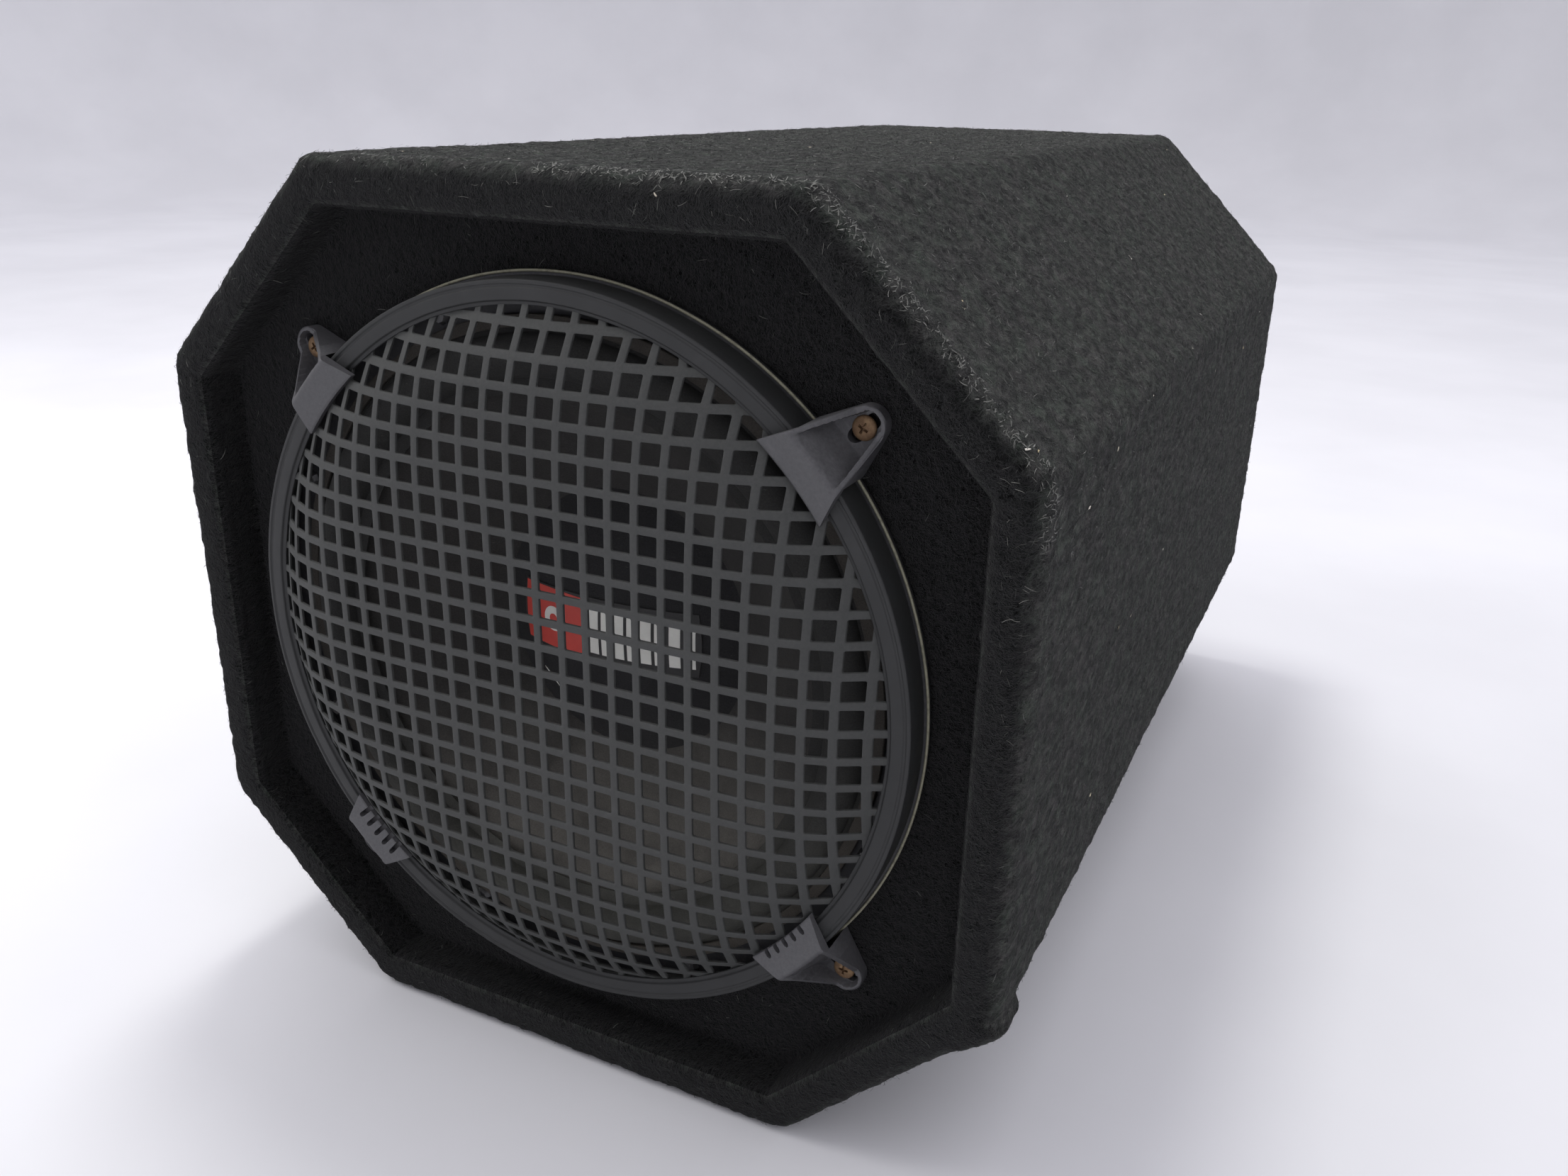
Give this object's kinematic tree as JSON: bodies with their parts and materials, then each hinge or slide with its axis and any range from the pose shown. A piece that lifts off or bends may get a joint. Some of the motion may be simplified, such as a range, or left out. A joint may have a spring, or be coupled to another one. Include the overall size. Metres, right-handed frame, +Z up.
{
  "type": "car subwoofer speaker",
  "caption": "Carpeted octagonal bass box with a driver recessed in its front behind a domed square-mesh grille held by corner clamps, and a spring terminal cup at the back.",
  "frame": {"origin": "centre of the bounding box's bottom: on the floor, below the middle of the box", "axes": "+X to the right seen from the front, +Y from the grille to the terminal cup, +Z up"},
  "size_m": [0.402, 0.6442, 0.398],
  "materials": {
    "board": "raw medium-density fibreboard, matt",
    "carpet": "charcoal needle-felt carpet with grey flecks and lint",
    "carpet_front": "charcoal needle-felt carpet, nearly black in the recess",
    "grille_plastic": "dusty dark grey moulded plastic",
    "ring_plastic": "dark grey moulded plastic, satin with dust",
    "clamp_plastic": "black moulded plastic, satin",
    "clamp_screw": "yellow-plated steel, rusted and dull",
    "frame_steel": "black powder coat",
    "screw_steel": "zinc plate, dull",
    "surround_foam": "matt foam rubber, dusty",
    "gasket_fibre": "pressed fibre",
    "spider_cloth": "amber resin-stiffened cloth",
    "plate_steel": "zinc plate",
    "ferrite": "sintered ferrite, matt",
    "cone_paper": "black pulp under grey-brown dust",
    "cap_paper": "black pressed paper, matt",
    "former": "brown kraft former",
    "copper": "enamelled copper",
    "badge_print": "printed strip, satin",
    "cup_plastic": "black ABS, satin",
    "lever_red": "red ABS",
    "lever_black": "black ABS",
    "contact_metal": "nickel plate",
    "wire_red": "red PVC insulation",
    "wire_black": "black PVC insulation"
  },
  "bodies": {
    "enclosure": {"panel_top": "board", "panel_upper_right": "board", "panel_right": "board", "panel_lower_right": "board", "panel_bottom": "board", "panel_lower_left": "board", "panel_left": "board", "panel_upper_left": "board", "front_baffle": "board", "rear_panel": "board", "carpet_wrap": "carpet", "carpet_bottom": "carpet", "carpet_baffle": "carpet_front", "carpet_rear": "carpet", "grille": "grille_plastic", "grille_ring": "ring_plastic", "clamp_upper_right": "clamp_plastic", "clamp_upper_left": "clamp_plastic", "clamp_lower_left": "clamp_plastic", "clamp_lower_right": "clamp_plastic", "clamp_screw_upper_right": "clamp_screw", "clamp_screw_upper_left": "clamp_screw", "clamp_screw_lower_left": "clamp_screw", "clamp_screw_lower_right": "clamp_screw", "basket": "frame_steel", "driver_screw_1": "screw_steel", "driver_screw_2": "screw_steel", "driver_screw_3": "screw_steel", "driver_screw_4": "screw_steel", "driver_screw_5": "screw_steel", "driver_screw_6": "screw_steel", "driver_screw_7": "screw_steel", "driver_screw_8": "screw_steel", "surround": "surround_foam", "surround_gasket": "gasket_fibre", "spider": "spider_cloth", "top_plate": "plate_steel", "magnet": "ferrite", "yoke": "plate_steel", "terminal_cup": "cup_plastic", "lever_pin": "screw_steel", "contact_red": "contact_metal", "contact_black": "contact_metal", "cup_screw_1": "screw_steel", "cup_screw_2": "screw_steel", "cup_screw_3": "screw_steel", "cup_screw_4": "screw_steel", "driver_terminals": "cup_plastic", "wire_red": "wire_red", "wire_black": "wire_black", "tinsel_red": "copper", "tinsel_black": "copper", "wire_clip": "cup_plastic"},
    "cone_body": {"cone": "cone_paper", "dust_cap": "cap_paper", "coil_former": "former", "voice_coil": "copper", "badge": "badge_print"},
    "red_lever": {"lever_red": "lever_red"},
    "black_lever": {"lever_black": "lever_black"}
  },
  "joints": [
    {"name": "cone_travel", "type": "slide", "parent": "enclosure", "child": "cone_body", "axis": [0, 1, 0], "range_m": [-0.01, 0.01], "stiffness_N_per_m": 6000, "deforming": ["surround", "spider", "tinsel_red", "tinsel_black"]},
    {"name": "red_lever_press", "type": "hinge", "parent": "enclosure", "child": "red_lever", "pos_m": [0.0127, 0.30535, 0.156], "axis": [-1, 0, 0], "range_deg": [0, 28], "stiffness_Nm_per_rad": 0.02},
    {"name": "black_lever_press", "type": "hinge", "parent": "enclosure", "child": "black_lever", "pos_m": [-0.0127, 0.30535, 0.156], "axis": [-1, 0, 0], "range_deg": [0, 28], "stiffness_Nm_per_rad": 0.02}
  ]
}
